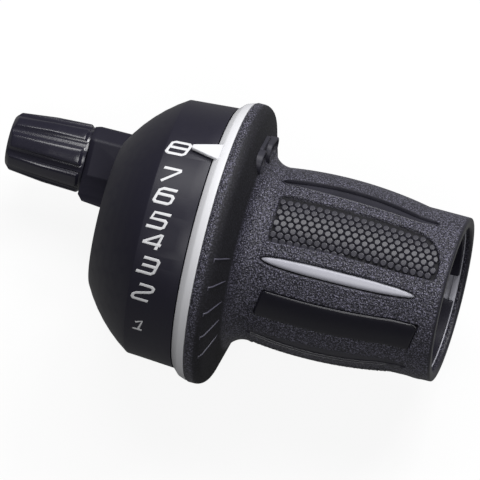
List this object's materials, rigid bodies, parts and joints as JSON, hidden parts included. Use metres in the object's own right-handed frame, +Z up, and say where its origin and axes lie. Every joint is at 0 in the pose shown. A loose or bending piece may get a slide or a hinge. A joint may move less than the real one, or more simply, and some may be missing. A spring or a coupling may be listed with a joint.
{
  "type": "bicycle twist grip shifter",
  "caption": "Handlebar twist shifter: black domed housing with number drum, white pointer ring, flanged rubber grip with grey lens inlays, and a fluted cable barrel adjuster.",
  "frame": {"origin": "on the handlebar axis at the inboard face of the housing", "axes": "+X along the handlebar towards its outboard end, +Y forward, +Z up; the number drum faces the rider, tilted back from vertical"},
  "size_m": [0.0813, 0.0482, 0.0483],
  "materials": {
    "housing_plastic": "satin black moulded plastic",
    "screw_steel": "zinc plated",
    "washer_plastic": "natural low-friction plastic",
    "spring_steel": "bright spring steel",
    "adjuster_plastic": "satin black",
    "core_plastic": "light grey moulded plastic",
    "grip_rubber": "pebbled black rubber",
    "ring_plastic": "white plastic",
    "label_plastic": "bare gloss black"
  },
  "bodies": {
    "fixed_housing": {"housing": "housing_plastic", "clamp_screw": "screw_steel", "clamp_nut": "screw_steel", "thrust_washer": "washer_plastic", "detent_spring": "spring_steel", "cable_guide": "washer_plastic", "adjuster_spring": "spring_steel"},
    "turning_grip": {"grip_core": "core_plastic", "grip_cover": "grip_rubber", "indicator_ring": "ring_plastic", "label_plate": "label_plastic", "cable_port_plug": "grip_rubber"},
    "click_collar": {"adjuster_collar": "washer_plastic"},
    "adjuster_knob": {"barrel_adjuster": "adjuster_plastic"}
  },
  "joints": [
    {"name": "grip_twist", "type": "hinge", "parent": "fixed_housing", "child": "turning_grip", "pos_m": [0, 0, 0], "axis": [1, 0, 0], "range_deg": [0, 85], "deforming": ["detent_spring"]},
    {"name": "adjuster_travel", "type": "slide", "parent": "fixed_housing", "child": "click_collar", "axis": [-1, 0, 0], "range_m": [0, 0.0024], "deforming": ["adjuster_spring"]},
    {"name": "adjuster_turn", "type": "hinge", "parent": "click_collar", "child": "adjuster_knob", "pos_m": [0, 0.01387, -0.01147], "axis": [-1, 0, 0], "range_deg": [0, 1080]}
  ],
  "couplings": [
    {"joint": "adjuster_turn", "follows": "adjuster_travel", "rad_per_m": 7854}
  ]
}
